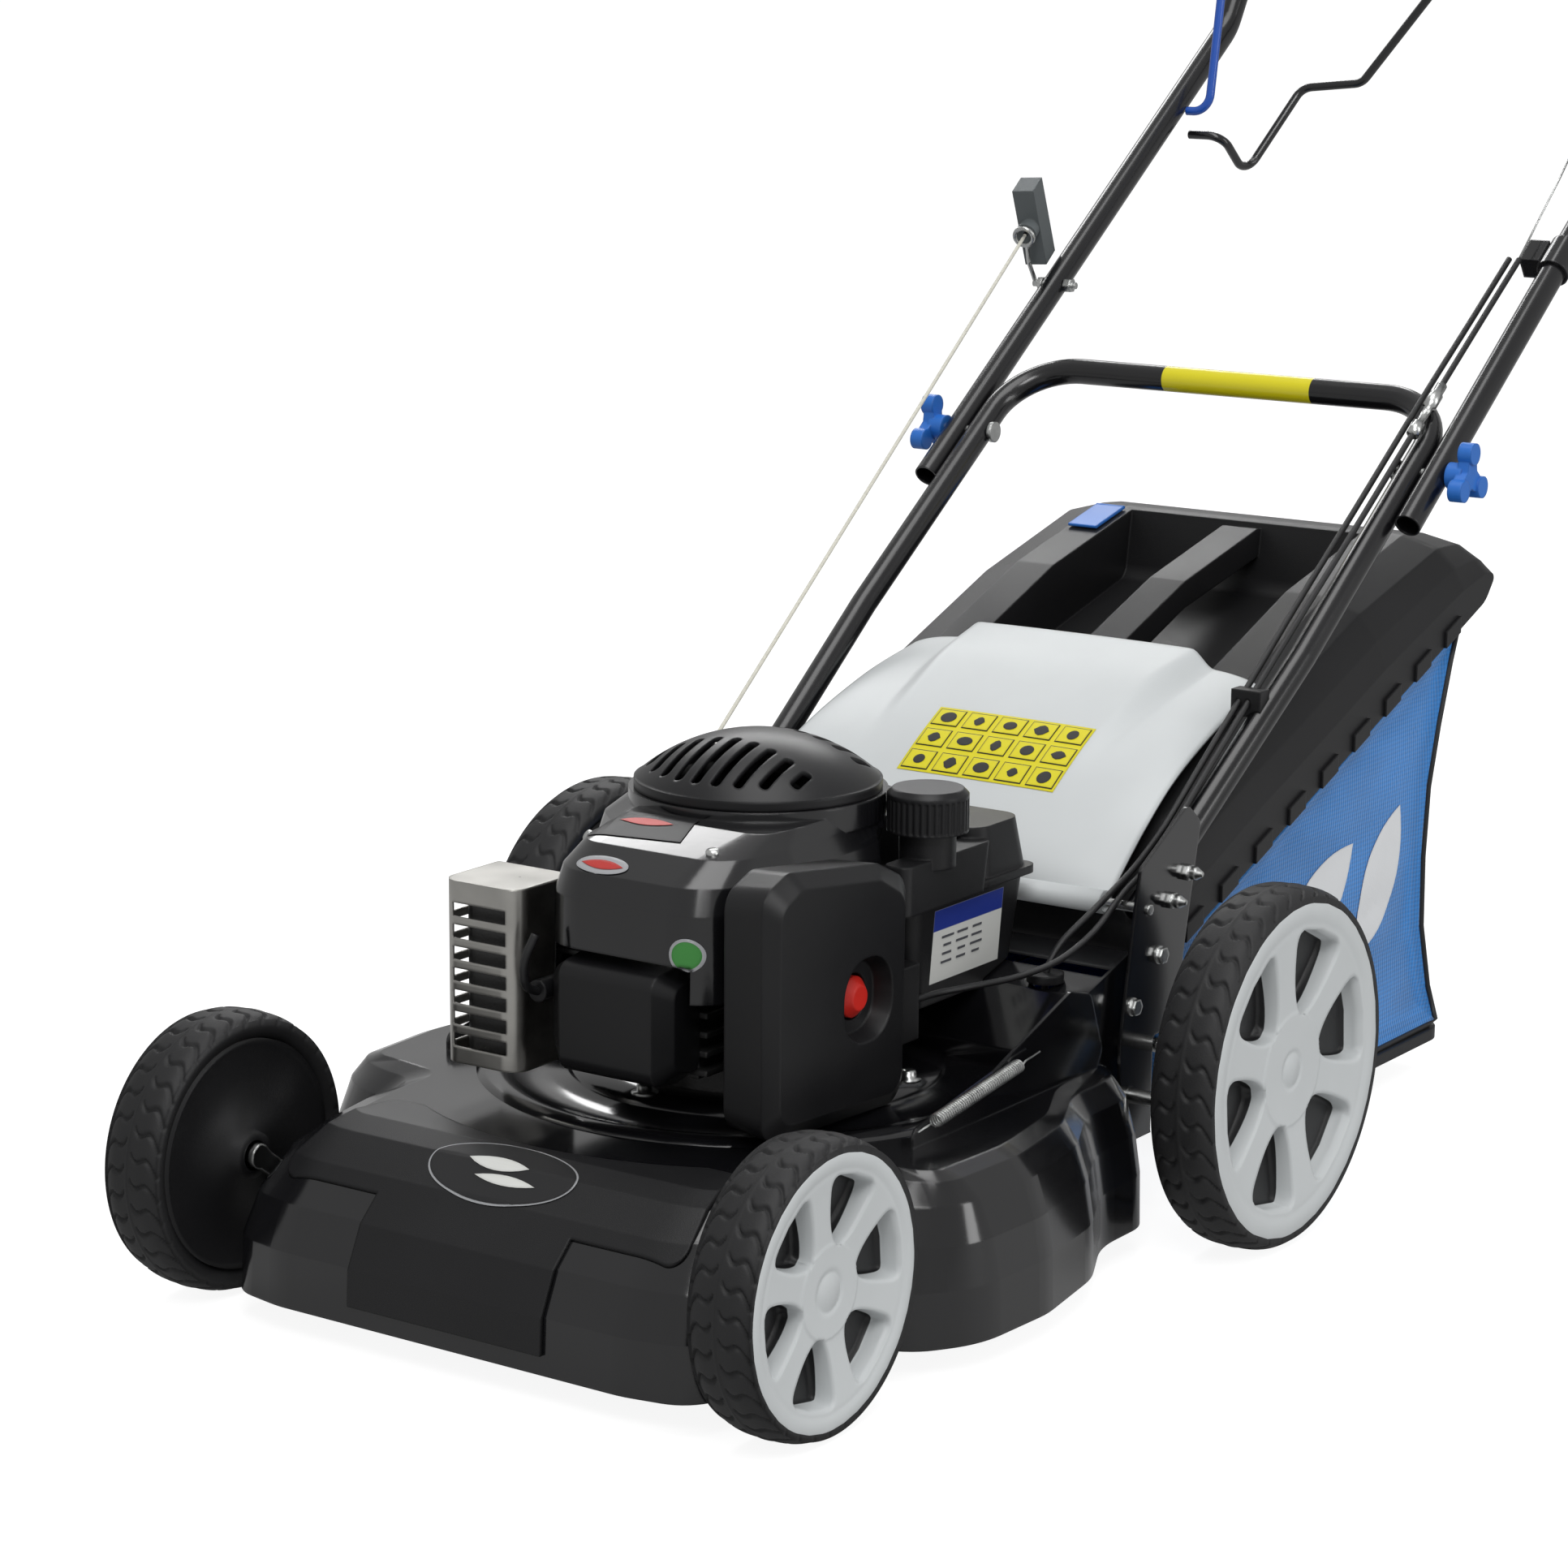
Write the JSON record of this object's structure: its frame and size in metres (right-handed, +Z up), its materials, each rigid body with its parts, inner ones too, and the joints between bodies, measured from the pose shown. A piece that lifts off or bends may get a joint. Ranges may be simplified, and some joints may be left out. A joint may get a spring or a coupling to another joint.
{
  "type": "push lawn mower",
  "caption": "Walk-behind petrol lawn mower with pressed deck, engine, four wheels, folding handle with two bails, rear flap and detachable grass bag.",
  "frame": {"origin": "centre of the overall bounding box on the ground", "axes": "+Z up, -Y the mower's front, +X the mower's left side"},
  "size_m": [0.666, 1.573, 0.981],
  "materials": {
    "tyre": "matt",
    "grey_plastic": "satin",
    "black_paint": "gloss",
    "black_plastic": "matt",
    "zinc_steel": "satin",
    "cast_alloy": "as cast",
    "blue_plastic": "satin",
    "blue_paint": "gloss",
    "black_steel": "gloss",
    "foam": "matt",
    "black_rubber": "matt",
    "red_rubber": "satin",
    "rope": "braided",
    "bag_cloth": "woven"
  },
  "bodies": {
    "chassis": {"deck": "black_paint", "deck_grommet": "black_rubber", "nose_cover": "black_plastic", "side_plate_left": "black_paint", "side_plate_right": "black_paint", "flap_hinge_rod": "zinc_steel", "chassis_fasteners": "zinc_steel", "lower_handle": "black_paint", "handle_bolts": "zinc_steel", "engine_block": "cast_alloy", "valve_cover": "cast_alloy", "blower_housing": "black_plastic", "starter_grille": "black_paint", "muffler": "zinc_steel", "muffler_guard": "black_paint", "air_filter_cover": "black_plastic", "carburettor": "black_plastic", "fuel_tank": "black_plastic", "spark_plug": "black_plastic", "spark_lead": "black_rubber", "height_spring": "zinc_steel", "cable_clip": "black_rubber", "brake_cable": "black_rubber", "drive_cable": "black_rubber", "starter_rope": "rope"},
    "rotor": {"crankshaft": "zinc_steel", "flywheel": "cast_alloy", "blade_adapter": "zinc_steel", "blade": "zinc_steel"},
    "front_crank": {"front_axle": "zinc_steel"},
    "rear_crank": {"rear_axle": "zinc_steel", "gearbox": "black_plastic", "height_lever": "blue_plastic"},
    "front_left_wheel": {"front_left_tyre": "tyre", "front_left_disc": "grey_plastic"},
    "front_right_wheel": {"front_right_tyre": "tyre", "front_right_disc": "grey_plastic"},
    "rear_left_wheel": {"rear_left_tyre": "tyre", "rear_left_disc": "grey_plastic"},
    "rear_right_wheel": {"rear_right_tyre": "tyre", "rear_right_disc": "grey_plastic"},
    "knob_left": {"left_knob": "blue_plastic"},
    "knob_right": {"right_knob": "blue_plastic"},
    "upper_frame": {"upper_handle": "black_paint", "foam_grip": "foam", "cable_bracket": "black_paint", "rope_guide": "zinc_steel"},
    "brake_lever": {"brake_bail": "blue_paint"},
    "drive_lever": {"drive_bail": "black_steel"},
    "pull_grip": {"starter_grip": "black_plastic"},
    "primer": {"primer_bulb": "red_rubber"},
    "cap": {"fuel_cap": "black_plastic"},
    "flap": {"rear_flap": "grey_plastic"},
    "grass_bag": {"bag_lid": "black_plastic", "bag_fabric": "bag_cloth", "bag_base": "black_plastic"},
    "indicator": {"fill_indicator": "blue_plastic"}
  },
  "joints": [
    {"name": "crank_spin", "type": "hinge", "parent": "chassis", "child": "rotor", "pos_m": [0, -0.3815, 0.05], "axis": [0, 0, 1], "continuous": true},
    {"name": "height_rear", "type": "hinge", "parent": "chassis", "child": "rear_crank", "pos_m": [0, -0.1995, 0.107], "axis": [1, 0, 0], "range_deg": [-60, 0]},
    {"name": "height_front", "type": "hinge", "parent": "chassis", "child": "front_crank", "pos_m": [0, -0.6445, 0.072], "axis": [1, 0, 0], "range_deg": [0, 60]},
    {"name": "front_left_roll", "type": "hinge", "parent": "front_crank", "child": "front_left_wheel", "pos_m": [0.253, -0.6845, 0.102], "axis": [1, 0, 0], "continuous": true},
    {"name": "front_right_roll", "type": "hinge", "parent": "front_crank", "child": "front_right_wheel", "pos_m": [-0.253, -0.6845, 0.102], "axis": [1, 0, 0], "continuous": true},
    {"name": "rear_left_roll", "type": "hinge", "parent": "rear_crank", "child": "rear_left_wheel", "pos_m": [0.308, -0.1595, 0.137], "axis": [1, 0, 0], "continuous": true},
    {"name": "rear_right_roll", "type": "hinge", "parent": "rear_crank", "child": "rear_right_wheel", "pos_m": [-0.308, -0.1595, 0.137], "axis": [1, 0, 0], "continuous": true},
    {"name": "knob_left_turn", "type": "hinge", "parent": "chassis", "child": "knob_left", "pos_m": [0.252, 0.2455, 0.5265], "axis": [1, 0, 0], "continuous": true},
    {"name": "knob_right_turn", "type": "hinge", "parent": "chassis", "child": "knob_right", "pos_m": [-0.252, 0.2455, 0.5265], "axis": [1, 0, 0], "continuous": true},
    {"name": "handle_fold", "type": "hinge", "parent": "chassis", "child": "upper_frame", "pos_m": [0, 0.2455, 0.5265], "axis": [1, 0, 0], "range_deg": [0, 135], "deforming": ["brake_cable", "drive_cable", "starter_rope"]},
    {"name": "brake_bail_pull", "type": "hinge", "parent": "upper_frame", "child": "brake_lever", "pos_m": [0, 0.6155, 0.786], "axis": [1, 0, 0], "range_deg": [-36, 0], "stiffness_Nm_per_rad": 1.2, "springref_deg": 28.65},
    {"name": "drive_bail_pull", "type": "hinge", "parent": "upper_frame", "child": "drive_lever", "pos_m": [0, 0.6215, 0.764], "axis": [1, 0, 0], "range_deg": [0, 25], "stiffness_Nm_per_rad": 1.2, "springref_deg": -28.65},
    {"name": "starter_pull", "type": "slide", "parent": "upper_frame", "child": "pull_grip", "axis": [-0.2014, 0.8859, 0.4178], "range_m": [0, 0.6], "stiffness_N_per_m": 30, "springref_m": -0.2, "deforming": ["starter_rope"]},
    {"name": "primer_press", "type": "slide", "parent": "chassis", "child": "primer", "axis": [-1, 0, 0], "range_m": [0, 0.004], "stiffness_N_per_m": 600, "springref_m": -0.002},
    {"name": "cap_turn", "type": "hinge", "parent": "chassis", "child": "cap", "pos_m": [0.116, -0.3325, 0.335], "axis": [0, 0, 1], "range_deg": [0, 90]},
    {"name": "flap_lift", "type": "hinge", "parent": "chassis", "child": "flap", "pos_m": [0, -0.1785, 0.246], "axis": [1, 0, 0], "range_deg": [0, 24], "stiffness_Nm_per_rad": 1, "springref_deg": -22.92},
    {"name": "bag_lift_off", "type": "slide", "parent": "chassis", "child": "grass_bag", "axis": [0, 1, 0], "range_m": [0, 0.45]},
    {"name": "indicator_lift", "type": "hinge", "parent": "grass_bag", "child": "indicator", "pos_m": [-0.132, 0.3435, 0.4556], "axis": [1, 0, 0], "range_deg": [-25, 0]}
  ],
  "couplings": [
    {"joint": "height_front", "follows": "height_rear", "ratio": -1}
  ]
}
